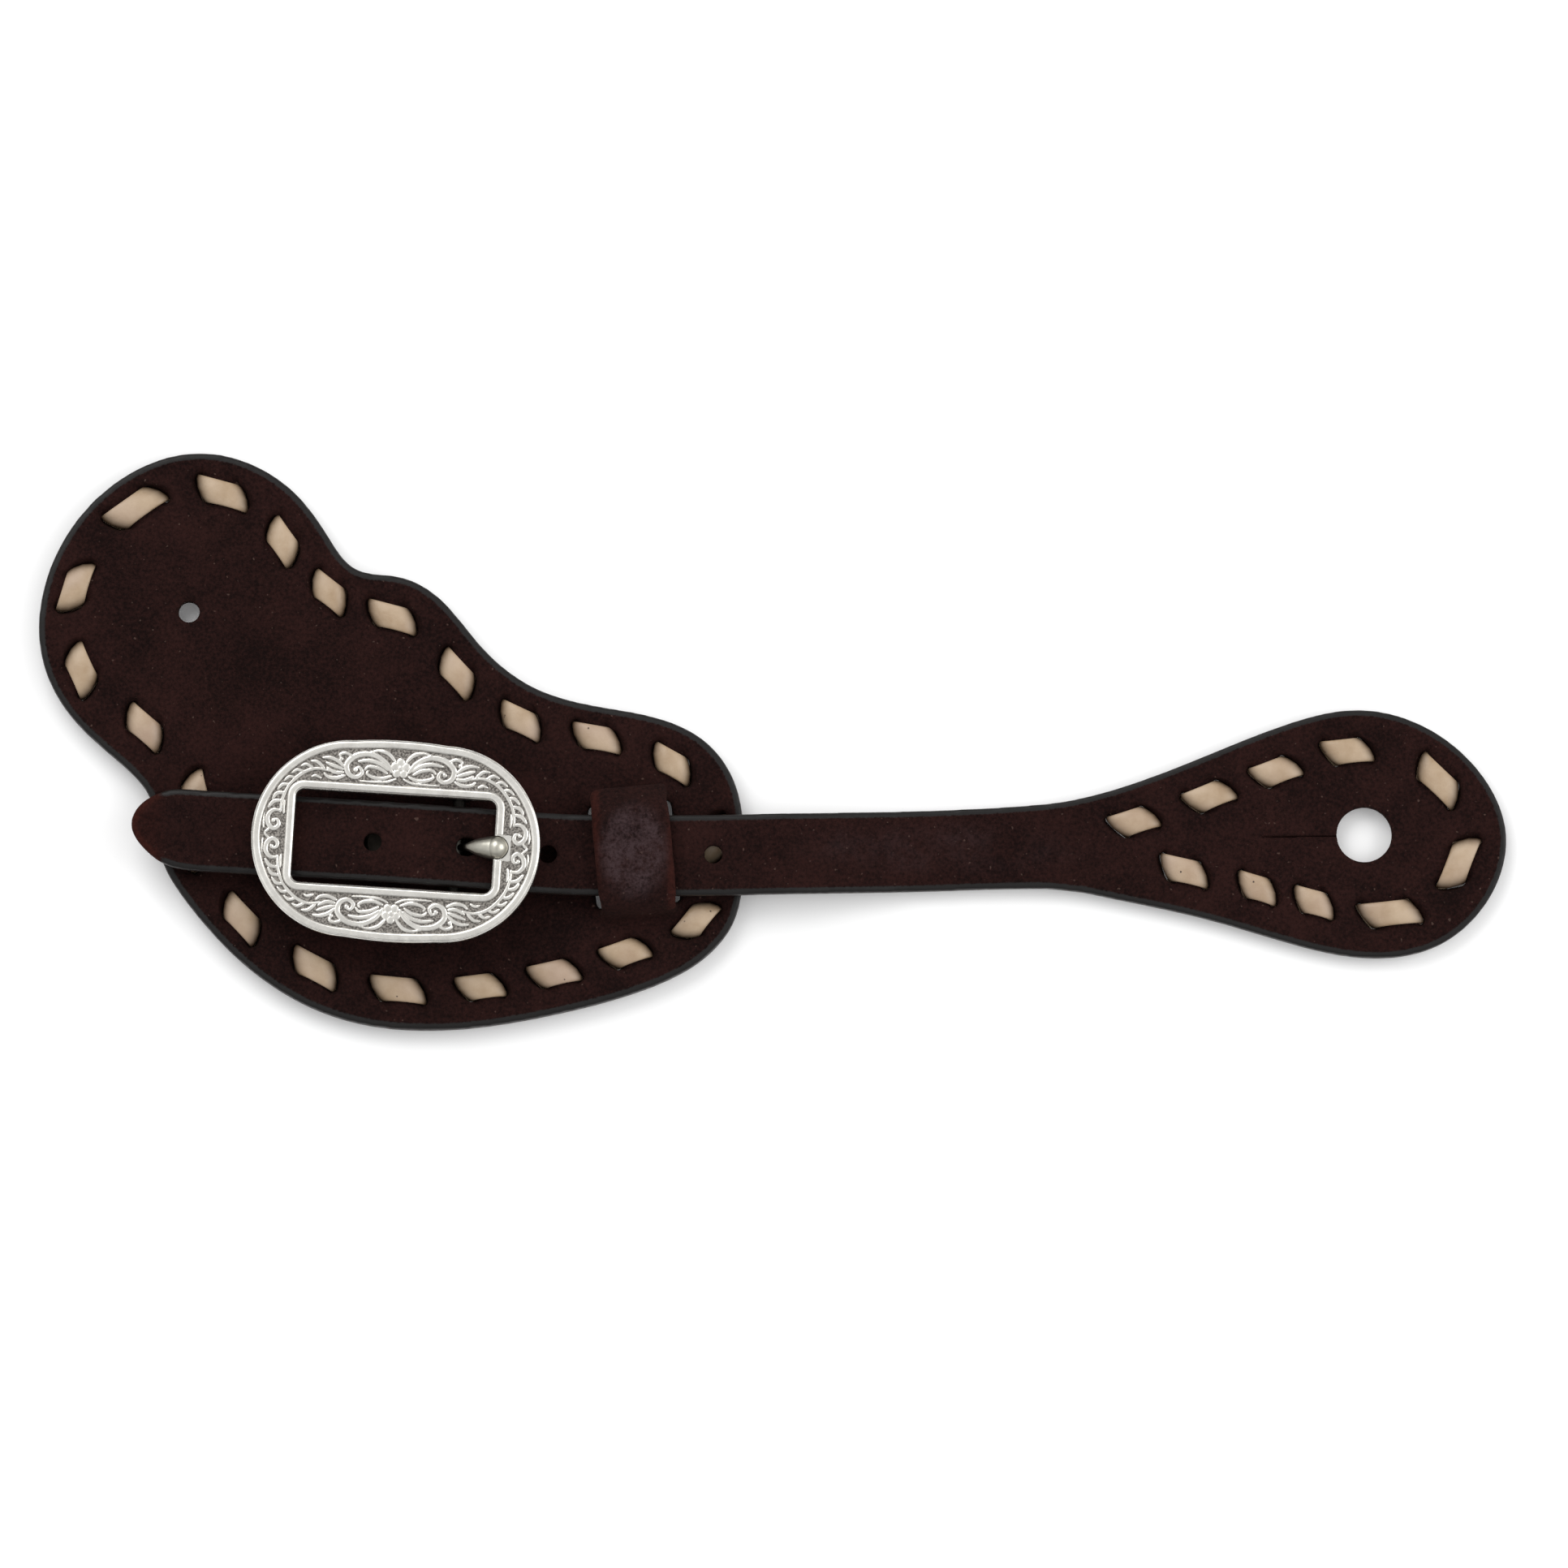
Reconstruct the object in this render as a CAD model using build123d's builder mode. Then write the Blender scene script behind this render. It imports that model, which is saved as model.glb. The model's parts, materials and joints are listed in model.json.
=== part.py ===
"""Western spur strap: a laced leather wing panel, a billet strap that passes
under a bridge keeper cut in the panel, and a cart buckle on a leather chape.

Millimetres. +X runs from the round lobe to the spur-button end, +Y across,
+Z up from the surface that the strap lies on. The origin is at the middle of
the strap's box, on that surface.
"""
import os
from math import cos, radians, sin

from build123d import *

# --- driving dimensions ------------------------------------------------------
BILLET_WIDTH = 15.9          # 5/8 inch strap
BILLET_THICK = 3.2
PANEL_THICK = 4.2
BUTTON_HOLE_D = 10.9         # takes a spur button
PILOT_HOLE_D = 4.2
BUCKLE_LENGTH = 57.0
BUCKLE_HEIGHT = 39.8
WINDOW_LENGTH = 39.3
WINDOW_HEIGHT = 18.25        # 3/4 inch buckle
PLATE_THICK = 2.8

# lace
LACE_WIDTH = 4.8
LACE_THICK = 1.05
SLIT_SLANT = 61.0            # degrees between the lace and its slits
SLIT_PLAY = 0.1
LAY_GAP = 0.05               # between a lace and the leather it lies on

# levels of the stack, measured up from the table
PANEL_BOTTOM = LACE_THICK + LAY_GAP - 0.1
PANEL_TOP = PANEL_BOTTOM + PANEL_THICK
LACE_TOP = PANEL_TOP + LAY_GAP + LACE_THICK
CHAPE_THICK = 1.1
BAR_R = 1.2
BAR_PLAY = 0.1
FOLD_OUTER = BAR_R + BAR_PLAY + CHAPE_THICK
BAR_Z = PANEL_TOP + LAY_GAP + FOLD_OUTER
BILLET_LOW = LACE_TOP + 0.3              # level run over the lace and under the keeper
BILLET_HUMP = BAR_Z + FOLD_OUTER + 0.3   # level run over the fold of the chape
PLATE_BOTTOM = BILLET_HUMP + BILLET_THICK + 0.05
PLATE_TOP = PLATE_BOTTOM + PLATE_THICK

# buckle place: its own u axis runs along the billet
BUCKLE_AT = (-74.0, -20.6)
BUCKLE_TURN = -3.7           # degrees
BAR_U = 11.8
TIP_U = 22.1                 # end of the tongue

os.makedirs("parts", exist_ok=True)


def buckle_plane(z):
    """The buckle's own plane, u along the billet and v across, at a height."""
    turn = radians(BUCKLE_TURN)
    return Plane(
        origin=(BUCKLE_AT[0], BUCKLE_AT[1], z),
        x_dir=(cos(turn), sin(turn), 0),
        z_dir=(0, 0, 1),
    )


def buckle_section(v):
    """The upright plane across v, with local x = u and local y = height."""
    turn = radians(BUCKLE_TURN)
    across = Vector(-sin(turn), cos(turn), 0)
    middle = Vector(BUCKLE_AT[0], BUCKLE_AT[1], 0) + across * v
    return Plane(origin=middle, x_dir=(cos(turn), sin(turn), 0), z_dir=across * -1)


# --- outlines ----------------------------------------------------------------
# wing panel: round lobe, bump, long waist, right end, belly and heel
with BuildLine() as panel_line:
    Spline(
        (-144.7, 24.0), (-141.0, 37.8), (-131.4, 49.9), (-113.0, 57.1),
        (-96.2, 50.9), (-88.2, 41.4), (-82.0, 34.0), (-73.8, 32.6),
        (-66.0, 28.6), (-57.8, 19.2), (-47.5, 10.9), (-35.4, 7.1),
        (-22.6, 4.6), (-13.0, -0.2), (-7.4, -8.2), (-5.6, -18.5),
        (-5.9, -28.5), (-7.6, -35.6), (-13.0, -42.5), (-24.0, -48.6),
        (-41.8, -53.7), (-67.4, -57.1), (-86.6, -54.3), (-102.6, -45.3),
        (-115.4, -31.8), (-120.6, -22.5), (-123.0, -10.6), (-128.2, -4.6),
        (-137.0, 3.4), (-142.8, 12.4),
        periodic=True,
    )
panel_edge = panel_line.edges()[0]

# billet: blunt tip, two nearly parallel sides, teardrop end
with BuildLine() as billet_line:
    tip_curve = Spline(
        (-112.0, -26.1), (-119.4, -24.7), (-123.8, -21.4), (-126.2, -17.0),
        (-124.0, -12.5), (-119.5, -10.2), (-112.0, -10.1),
        tangents=[(-1, 0.07), (1, -0.07)],
    )
    drop_curve = Spline(
        (54.2, -12.3), (63.8, -10.5), (83.0, -3.8), (102.2, 3.7), (115.8, 6.3),
        (128.0, 3.3), (138.0, -4.2), (144.7, -18.4), (140.6, -32.1),
        (131.0, -40.4), (119.0, -42.8), (102.2, -39.9), (83.0, -34.4),
        (63.8, -30.3), (54.2, -29.0),
        tangents=[(1, 0.1), (-1, 0.1)],
    )
    upper_side = Spline(
        tip_curve @ 1, (-78.0, -12.35), (-44.0, -14.6), (-4.0, -14.75), (30.0, -13.7),
        drop_curve @ 0,
        tangents=[(1, -0.07), (1, 0.1)],
    )
    lower_side = Spline(
        drop_curve @ 1, (30.0, -29.6), (-4.0, -30.65), (-44.0, -30.5), (-78.0, -28.25),
        tip_curve @ 0,
        tangents=[(-1, 0.0), (-1, 0.07)],
    )

# --- lacing ------------------------------------------------------------------
# where each visible span of lace sits, as it was punched by eye:
# (distance along the cut edge, length of the span, inset from the edge)
PANEL_SPANS = (
    (8.4, 7.4, 6.0), (32.4, 9.6, 6.3), (56.5, 7.9, 7.4), (77.4, 6.3, 8.1),
    (89.1, 6.1, 6.8), (99.8, 7.3, 8.1), (121.6, 6.9, 7.2), (134.6, 6.5, 7.1),
    (148.2, 6.9, 6.2), (166.3, 6.1, 7.4), (191.5, 6.7, 5.8), (212.4, 6.5, 6.5),
    (231.8, 6.5, 8.1), (247.4, 6.9, 7.9), (262.9, 6.5, 7.9), (280.9, 8.1, 7.8),
    (300.9, 7.5, 7.3), (320.6, 7.3, 6.2), (340.5, 5.5, 7.3), (350.8, 6.5, 8.8),
    (362.8, 6.7, 8.4), (382.9, 7.1, 6.6),
)
DROP_SPANS = (
    (15.3, 6.4, 7.2), (30.4, 6.8, 7.7), (44.6, 6.5, 8.1), (61.4, 6.9, 8.1),
    (87.5, 8.3, 7.3), (114.8, 8.4, 8.5), (141.9, 9.2, 8.7), (160.4, 5.4, 9.0),
    (172.2, 5.2, 8.6), (186.4, 6.9, 8.2),
)


def lace_slits(curve, spans):
    """Both slits of each span, in order: (middle, direction along the slit)."""
    slits = []
    for station, span, inset in spans:
        share = station / curve.length
        along = curve.tangent_at(share).normalized()
        inward = along.rotate(Axis.Z, -90)
        middle = curve.position_at(share) + inward * inset
        slant = along.rotate(Axis.Z, -SLIT_SLANT)
        slits.append((middle - along * (span / 2), slant))
        slits.append((middle + along * (span / 2), slant))
    return slits


def slit_bar(slit, length, width):
    """One slit's outline as corner points."""
    middle, slant = slit
    side = slant.rotate(Axis.Z, 90) * (width / 2)
    reach = slant * (length / 2)
    return [middle - reach - side, middle + reach - side,
            middle + reach + side, middle - reach + side]


def span_between(first, second, length):
    """The flat stretch of lace from one slit to another, as corner points."""
    reach_a = first[1] * (length / 2)
    reach_b = second[1] * (length / 2)
    return [first[0] - reach_a, second[0] - reach_b,
            second[0] + reach_b, first[0] + reach_a]


def flat_faces(corner_lists):
    """One sketch with a polygon for each list of corners."""
    with BuildSketch() as sketch:
        for corners in corner_lists:
            with BuildLine():
                Polyline(*corners, close=True)
            make_face()
    return sketch.sketch


panel_slits = lace_slits(panel_edge, PANEL_SPANS)
drop_slits = lace_slits(drop_curve, DROP_SPANS)
SLIT_LENGTH = LACE_WIDTH / sin(radians(SLIT_SLANT))


def slit_faces(slits):
    """Openings for the lace, a little longer and wider than it."""
    return flat_faces(
        slit_bar(slit, SLIT_LENGTH + 0.7, LACE_THICK + 2 * SLIT_PLAY) for slit in slits
    )


def make_lace(slits, low, high, closed):
    """A flat lace run in and out of its slits, from low to high."""
    count = len(slits)
    front = [span_between(slits[i], slits[i + 1], SLIT_LENGTH) for i in range(0, count, 2)]
    back_starts = range(1, count if closed else count - 1, 2)
    back = [span_between(slits[i], slits[(i + 1) % count], SLIT_LENGTH) for i in back_starts]
    legs = [slit_bar(slit, SLIT_LENGTH, LACE_THICK) for slit in slits]
    with BuildPart() as lace:
        with BuildSketch(Plane.XY.offset(low)):
            add(flat_faces(legs))
        extrude(amount=high - low)
        with BuildSketch(Plane.XY.offset(low)):
            add(flat_faces(back))
        extrude(amount=LACE_THICK - 0.1)
        with BuildSketch(Plane.XY.offset(high - LACE_THICK)):
            add(flat_faces(front))
        extrude(amount=LACE_THICK)
    return lace.part


def save(part, name):
    """Label one piece and write its file."""
    part.label = name
    export_step(part, f"parts/{name}.step")


# --- wing panel with its bridge keeper -----------------------------------------
KEEPER_AT = (-27.3, -22.2)
KEEPER_TURN = 5.3            # degrees, the keeper leans a little across the billet
KEEPER_WIDTH = 15.7
KEEPER_SLIT = 20.8           # length of the two cuts that free the keeper
KEEPER_CUT_GAP = 0.4
BRIDGE_FOOT = 14.0           # where the bulge meets the flat leather
BRIDGE_IN_HIGH = BILLET_LOW + BILLET_THICK + 0.35
BRIDGE_THICK = 3.1
BRIDGE_TOP = BRIDGE_IN_HIGH + BRIDGE_THICK
CHAPE_RIVET_U = (-3.0, -16.0)
RIVET_R = 1.1

keeper_dir = (cos(radians(KEEPER_TURN)), sin(radians(KEEPER_TURN)), 0)
keeper_flat = Plane(origin=(*KEEPER_AT, 0), x_dir=keeper_dir, z_dir=(0, 0, 1))
keeper_upright = Plane(
    origin=(*KEEPER_AT, 0),
    x_dir=keeper_flat.y_dir,
    z_dir=keeper_flat.x_dir,
)

with BuildPart() as wing_panel:
    with BuildSketch(Plane.XY.offset(PANEL_BOTTOM)):
        with BuildLine():
            add(panel_edge)
        make_face()
        with Locations((-115.1, 25.6)):
            Circle(PILOT_HOLE_D / 2, mode=Mode.SUBTRACT)
    extrude(amount=PANEL_THICK)
    with BuildSketch(Plane.XY):
        add(slit_faces(panel_slits))
    extrude(amount=LACE_TOP, mode=Mode.SUBTRACT)
    with BuildSketch(keeper_flat):
        Rectangle(KEEPER_WIDTH + 2 * KEEPER_CUT_GAP, KEEPER_SLIT)
    extrude(amount=PANEL_TOP, mode=Mode.SUBTRACT)
    with BuildSketch(keeper_upright):
        with BuildLine():
            outer = Spline(
                (-BRIDGE_FOOT, PANEL_TOP), (-12.4, PANEL_TOP + 1.6), (-11.3, BRIDGE_TOP - 2.4),
                (-7.5, BRIDGE_TOP - 0.3), (0.0, BRIDGE_TOP), (7.5, BRIDGE_TOP - 0.3),
                (11.0, BRIDGE_TOP - 2.4), (12.4, PANEL_TOP + 1.6), (BRIDGE_FOOT, PANEL_TOP),
                tangents=[(1, 0.1), (1, -0.1)],
            )
            inner = FilletPolyline(
                outer @ 1, (BRIDGE_FOOT, PANEL_BOTTOM), (KEEPER_SLIT / 2, PANEL_BOTTOM),
                (9.3, BRIDGE_IN_HIGH), (-10.3, BRIDGE_IN_HIGH),
                (-KEEPER_SLIT / 2, PANEL_BOTTOM), (-BRIDGE_FOOT, PANEL_BOTTOM), outer @ 0,
                radius=(0.2, 0.2, 1.6, 1.0, 0.05, 0.2),
            )
        make_face()
    extrude(amount=KEEPER_WIDTH / 2, both=True)
    with BuildSketch(buckle_plane(0)):
        with Locations(*[(u, 0) for u in CHAPE_RIVET_U]):
            Circle(RIVET_R + 0.05)
    extrude(amount=PANEL_TOP, mode=Mode.SUBTRACT)
save(wing_panel.part, "wing_panel")

panel_lace = make_lace(panel_slits, 0, LACE_TOP, closed=True)
save(panel_lace, "panel_lace")

# --- billet strap ----------------------------------------------------------------
HOLE_D = 3.6
TONGUE_SLOT = 4.2            # the hole in use is drawn oval by the tongue
BILLET_HOLES = ((-78.6, -20.5), (-44.2, -22.7), (-27.9, -22.8), (-11.6, -22.7))
BUTTON_AT = (116.7, -18.4)
SPLIT_END = 97.4             # the split lets the hole pass over a button
SPLIT_WIDTH = 0.9
SLOT_MID_U = 13.9

with BuildPart() as billet_strap:
    with BuildSketch(Plane.XZ):
        with BuildLine():
            under = FilletPolyline(
                (-130, BILLET_LOW + 0.4), (-112, BILLET_LOW + 0.6), (-70, BILLET_HUMP),
                (-57, BILLET_HUMP), (-41, BILLET_LOW), (3, BILLET_LOW),
                (28, PANEL_BOTTOM), (150, PANEL_BOTTOM),
                radius=(30, 20, 6, 12, 20, 30),
            )
            over = FilletPolyline(
                (-130, BILLET_LOW + 0.4 + BILLET_THICK), (-112, BILLET_LOW + 0.6 + BILLET_THICK),
                (-70, BILLET_HUMP + BILLET_THICK), (-57, BILLET_HUMP + BILLET_THICK),
                (-41, BILLET_LOW + BILLET_THICK), (3, BILLET_LOW + BILLET_THICK),
                (28, PANEL_BOTTOM + BILLET_THICK), (150, PANEL_BOTTOM + BILLET_THICK),
                radius=(30, 20, 6, 12, 20, 30),
            )
            Line(under @ 0, over @ 0)
            Line(under @ 1, over @ 1)
        make_face()
    extrude(amount=80, both=True)
    with BuildSketch(Plane.XY):
        with BuildLine():
            add(billet_line.line)
        make_face()
        with Locations(*BILLET_HOLES):
            Circle(HOLE_D / 2, mode=Mode.SUBTRACT)
        with Locations(BUTTON_AT):
            Circle(BUTTON_HOLE_D / 2, mode=Mode.SUBTRACT)
        with Locations(((BUTTON_AT[0] + SPLIT_END) / 2, BUTTON_AT[1] - 0.4)):
            Rectangle(BUTTON_AT[0] - SPLIT_END, SPLIT_WIDTH, mode=Mode.SUBTRACT)
    extrude(amount=PLATE_TOP, mode=Mode.INTERSECT)
    with BuildSketch(buckle_plane(0)):
        with Locations((SLOT_MID_U, 0)):
            SlotOverall(TONGUE_SLOT, HOLE_D)
    extrude(amount=PLATE_TOP, mode=Mode.SUBTRACT)
    with BuildSketch(Plane.XY):
        add(slit_faces(drop_slits))
    extrude(amount=PANEL_TOP, mode=Mode.SUBTRACT)
save(billet_strap.part, "billet_strap")

drop_lace = make_lace(
    drop_slits, 0, PANEL_BOTTOM + BILLET_THICK + LAY_GAP + LACE_THICK, closed=False
)
save(drop_lace, "billet_lace")

# --- the tongue's point, which also shapes its notch ----------------------------------
SHANK_R = 0.75
SHANK_LEAN = 25.0            # degrees from upright, where the shank passes the billet
NECK_Z = PLATE_BOTTOM + 0.75     # the shank bends over just above the billet
NECK = (BAR_U + (NECK_Z - BAR_Z) * sin(radians(SHANK_LEAN)) / cos(radians(SHANK_LEAN)), NECK_Z)
POINT_END = (TIP_U, PLATE_TOP - 0.3)
POINT_MID = ((NECK[0] + POINT_END[0]) / 2, (NECK[1] + POINT_END[1]) / 2)
POINT_R = 2.3
POINT_KEEL = 0.55            # how far the flat underside lies below the point's axis


def tongue_point(grow):
    """The bullet-shaped point with a flat underside, made larger all round by grow."""
    upright = buckle_section(0)
    slope = Vector(POINT_END[0] - NECK[0], POINT_END[1] - NECK[1])
    length = slope.length
    start = upright.from_local_coords(Vector(*NECK))
    ahead = (upright.from_local_coords(Vector(*POINT_END)) - start).normalized()
    across = upright.z_dir
    profile_plane = Plane(origin=start, x_dir=ahead, z_dir=across)
    with BuildPart() as point:
        with BuildSketch(profile_plane):
            with BuildLine():
                back = Spline(
                    (-grow, SHANK_R - 0.25 + grow), (0.42 * length, 0.72 * POINT_R + grow),
                    (0.76 * length, POINT_R + grow), (length + grow, 0),
                    tangents=[(1, 0.45), (0, -1)],
                )
                Polyline(back @ 1, (-grow, 0), back @ 0)
            make_face()
        revolve(axis=Axis(start, ahead))
        with BuildSketch(profile_plane.offset(-4)):
            with Locations((length / 2, -POINT_KEEL - grow - 2.5)):
                Rectangle(2 * length, 5)
        extrude(amount=8, mode=Mode.SUBTRACT)
    return point.part


# --- buckle frame ------------------------------------------------------------------
END_R = 19.4                 # radius of the frame's round ends
END_U = BUCKLE_LENGTH / 2 - END_R
RIM_WIDTH = 1.7
BAND_DEPTH = 0.35            # recess between the two rims
WINDOW_MID_U = -0.4
LUG_V = 9.3                  # inner faces of the two lugs that hold the bar
LUG_WIDTH = 3.0
LUG_R = 2.1


def oval(shrink):
    """The frame's outline, taken in by an even margin."""
    high = BUCKLE_HEIGHT / 2 - shrink
    end_r = END_R - shrink
    with BuildLine() as ring:
        ThreePointArc((-END_U, end_r), (0, high), (END_U, end_r))
        ThreePointArc((END_U, end_r), (END_U + end_r, 0), (END_U, -end_r))
        ThreePointArc((END_U, -end_r), (0, -high), (-END_U, -end_r))
        ThreePointArc((-END_U, -end_r), (-END_U - end_r, 0), (-END_U, end_r))
    return ring.line


with BuildPart() as buckle_frame:
    with BuildSketch(buckle_plane(PLATE_BOTTOM)):
        with BuildLine():
            add(oval(0))
        make_face()
        with Locations((WINDOW_MID_U, 0)):
            RectangleRounded(WINDOW_LENGTH, WINDOW_HEIGHT, 1.6, mode=Mode.SUBTRACT)
    extrude(amount=PLATE_THICK)
    rim_edges = buckle_frame.edges().group_by(Axis.Z)[-1]
    fillet(rim_edges, radius=0.6)
    with BuildSketch(buckle_plane(PLATE_TOP - BAND_DEPTH)):
        with BuildLine():
            add(oval(RIM_WIDTH))
        make_face()
        with Locations((WINDOW_MID_U, 0)):
            RectangleRounded(
                WINDOW_LENGTH + 2 * RIM_WIDTH, WINDOW_HEIGHT + 2 * RIM_WIDTH, 3.3,
                mode=Mode.SUBTRACT,
            )
    extrude(amount=PLATE_THICK, mode=Mode.SUBTRACT)
    for side in (-1, 1):
        lug_face = LUG_V if side > 0 else -LUG_V - LUG_WIDTH
        with BuildSketch(buckle_section(lug_face)):
            with BuildLine():
                lug_foot = ThreePointArc(
                    (BAR_U - LUG_R, BAR_Z), (BAR_U, BAR_Z - LUG_R), (BAR_U + LUG_R, BAR_Z)
                )
                Polyline(
                    lug_foot @ 1, (BAR_U + LUG_R + 0.8, PLATE_BOTTOM + 0.5),
                    (BAR_U - LUG_R - 0.8, PLATE_BOTTOM + 0.5), lug_foot @ 0,
                )
            make_face()
        extrude(amount=-LUG_WIDTH)
    with BuildSketch(buckle_section(-LUG_V - LUG_WIDTH)):
        with Locations((BAR_U, BAR_Z)):
            Circle(BAR_R)
    extrude(amount=-2 * (LUG_V + LUG_WIDTH), mode=Mode.SUBTRACT)
    # notch in the inner rim, which hugs the tongue's point
    add(tongue_point(0.15), mode=Mode.SUBTRACT)
save(buckle_frame.part, "buckle_frame")

with BuildPart() as hinge_bar:
    with BuildSketch(buckle_section(-LUG_V - LUG_WIDTH + 0.1)):
        with Locations((BAR_U, BAR_Z)):
            Circle(BAR_R)
    extrude(amount=-2 * (LUG_V + LUG_WIDTH - 0.1))
save(hinge_bar.part, "hinge_bar")

# --- tongue --------------------------------------------------------------------------
EYE_R = 2.2
EYE_WIDTH = 3.0

with BuildPart() as buckle_tongue:
    with BuildSketch(buckle_section(-EYE_WIDTH / 2)):
        with Locations((BAR_U, BAR_Z)):
            Circle(EYE_R)
    extrude(amount=-EYE_WIDTH)
    with BuildLine(buckle_section(0)) as shank_line:
        FilletPolyline((BAR_U, BAR_Z), NECK, POINT_MID, radius=1.2)
    with BuildSketch(Plane(origin=shank_line.line @ 0, z_dir=shank_line.line % 0)):
        Circle(SHANK_R)
    sweep(path=shank_line.line)
    add(tongue_point(0))
    with BuildSketch(buckle_section(-EYE_WIDTH)):
        with Locations((BAR_U, BAR_Z)):
            Circle(BAR_R + 0.05)
    extrude(amount=-2 * EYE_WIDTH, mode=Mode.SUBTRACT)
save(buckle_tongue.part, "buckle_tongue")

# --- chape and its rivets ---------------------------------------------------------------
CHAPE_WIDTH = 14.0
CHAPE_TAIL_U = -22.0
CHAPE_JOIN_U = BAR_U - 9.0
SLOT_WIDTH = 3.7
ply = FOLD_OUTER - CHAPE_THICK / 2
low_ply = BAR_Z - ply
high_ply = low_ply + CHAPE_THICK + LAY_GAP

with BuildPart() as buckle_chape:
    with BuildSketch(buckle_section(-CHAPE_WIDTH / 2)):
        with BuildLine() as chape_line:
            FilletPolyline(
                (CHAPE_TAIL_U, low_ply), (BAR_U + ply, low_ply), (BAR_U + ply, BAR_Z + ply),
                (BAR_U - 1.0, BAR_Z + ply), (CHAPE_JOIN_U, high_ply), (CHAPE_TAIL_U, high_ply),
                radius=(ply - 0.001, ply - 0.001, 2.0, 5.0),
            )
        trace(line_width=CHAPE_THICK)
    extrude(amount=-CHAPE_WIDTH)
    with BuildSketch(buckle_plane(PANEL_TOP)):
        with Locations((BAR_U - 1.5, 0)):
            SlotOverall(10.0, SLOT_WIDTH)
        with Locations(*[(u, 0) for u in CHAPE_RIVET_U]):
            Circle(RIVET_R + 0.05)
    extrude(amount=10, mode=Mode.SUBTRACT)
save(buckle_chape.part, "buckle_chape")

HEAD_R = 3.2
HEAD_HIGH = 0.9
RIVET_HEAD_Z = high_ply + CHAPE_THICK / 2 + LAY_GAP
with BuildPart() as chape_rivets:
    with BuildSketch(buckle_plane(0.1)):
        with Locations(*[(u, 0) for u in CHAPE_RIVET_U]):
            Circle(RIVET_R)
    extrude(amount=RIVET_HEAD_Z)
    with BuildSketch(buckle_plane(RIVET_HEAD_Z)):
        with Locations(*[(u, 0) for u in CHAPE_RIVET_U]):
            Circle(HEAD_R)
    extrude(amount=HEAD_HIGH)
    chamfer(chape_rivets.edges().group_by(Axis.Z)[-1], length=0.5)
save(chape_rivets.part, "chape_rivets")

with BuildPart() as rivet_burrs:
    with BuildSketch(buckle_plane(0.15)):
        with Locations(*[(u, 0) for u in CHAPE_RIVET_U]):
            Circle(HEAD_R)
            Circle(RIVET_R + 0.05, mode=Mode.SUBTRACT)
    extrude(amount=PANEL_BOTTOM - LAY_GAP - 0.15)
save(rivet_burrs.part, "rivet_burrs")
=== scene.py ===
# %% [markdown]
# # A laced western spur strap
# The strap lies on a table, show side up. A wing panel of thick roughout leather carries an
# oval buckle on a hidden chape. A billet strap runs under a bridge keeper that is cut out of
# the panel itself, passes under the buckle, and ends in a teardrop with a button hole.
#
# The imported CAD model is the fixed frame: every size and place here is measured on it.

# %% Load the frame
import json
import math

import bmesh
import bpy
import numpy as np
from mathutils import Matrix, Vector, noise
from mathutils.kdtree import KDTree


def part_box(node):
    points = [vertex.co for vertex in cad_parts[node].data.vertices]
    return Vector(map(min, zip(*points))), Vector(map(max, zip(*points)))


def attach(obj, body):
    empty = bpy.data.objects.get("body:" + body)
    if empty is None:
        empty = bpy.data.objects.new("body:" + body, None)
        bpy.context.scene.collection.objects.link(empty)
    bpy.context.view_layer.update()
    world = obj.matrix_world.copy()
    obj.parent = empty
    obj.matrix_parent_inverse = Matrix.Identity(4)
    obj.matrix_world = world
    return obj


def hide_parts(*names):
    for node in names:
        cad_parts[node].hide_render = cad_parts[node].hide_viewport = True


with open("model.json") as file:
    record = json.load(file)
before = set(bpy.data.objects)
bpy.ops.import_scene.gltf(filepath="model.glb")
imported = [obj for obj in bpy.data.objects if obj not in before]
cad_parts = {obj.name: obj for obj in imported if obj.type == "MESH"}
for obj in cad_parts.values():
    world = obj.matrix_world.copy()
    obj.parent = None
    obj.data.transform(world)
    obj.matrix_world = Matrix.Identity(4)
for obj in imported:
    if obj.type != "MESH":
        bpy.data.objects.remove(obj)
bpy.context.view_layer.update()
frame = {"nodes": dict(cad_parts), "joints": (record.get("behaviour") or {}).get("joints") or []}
nodes = frame["nodes"]
MM = 0.001

# %% [markdown]
# ## Camera, table and light
# The strap is seen from above, with the view leaning a few degrees towards its lower edge, so
# that the walls that face the viewer just show. A long lens keeps the outline true. The table
# is white, and two soft lamps leave only a faint shadow. The sky is brighter overhead than at
# the horizon, and brighter past the strap's ends than past its sides, so that the metal has
# something to mirror.

# %% Camera
VIEW_TILT = math.radians(85.5)
VIEW_DISTANCE = 3.5
VIEW_WIDTH = 0.3092          # what the frame takes in at the table
SENSOR = 36.0
aim = Vector((2.3 * MM, -8.4 * MM, 4 * MM))

camera = bpy.data.objects.new("camera", bpy.data.cameras.new("camera"))
bpy.context.scene.collection.objects.link(camera)
towards = Vector((0, -math.cos(VIEW_TILT), math.sin(VIEW_TILT)))
camera.location = aim + towards * VIEW_DISTANCE
camera.rotation_mode = "QUATERNION"
camera.rotation_quaternion = (-towards).to_track_quat("-Z", "Y")
camera.data.sensor_width = SENSOR
camera.data.lens = SENSOR * VIEW_DISTANCE / VIEW_WIDTH
camera.data.clip_start = 0.01
bpy.context.scene.camera = camera
print("lens, mm:", round(camera.data.lens, 1))


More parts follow.
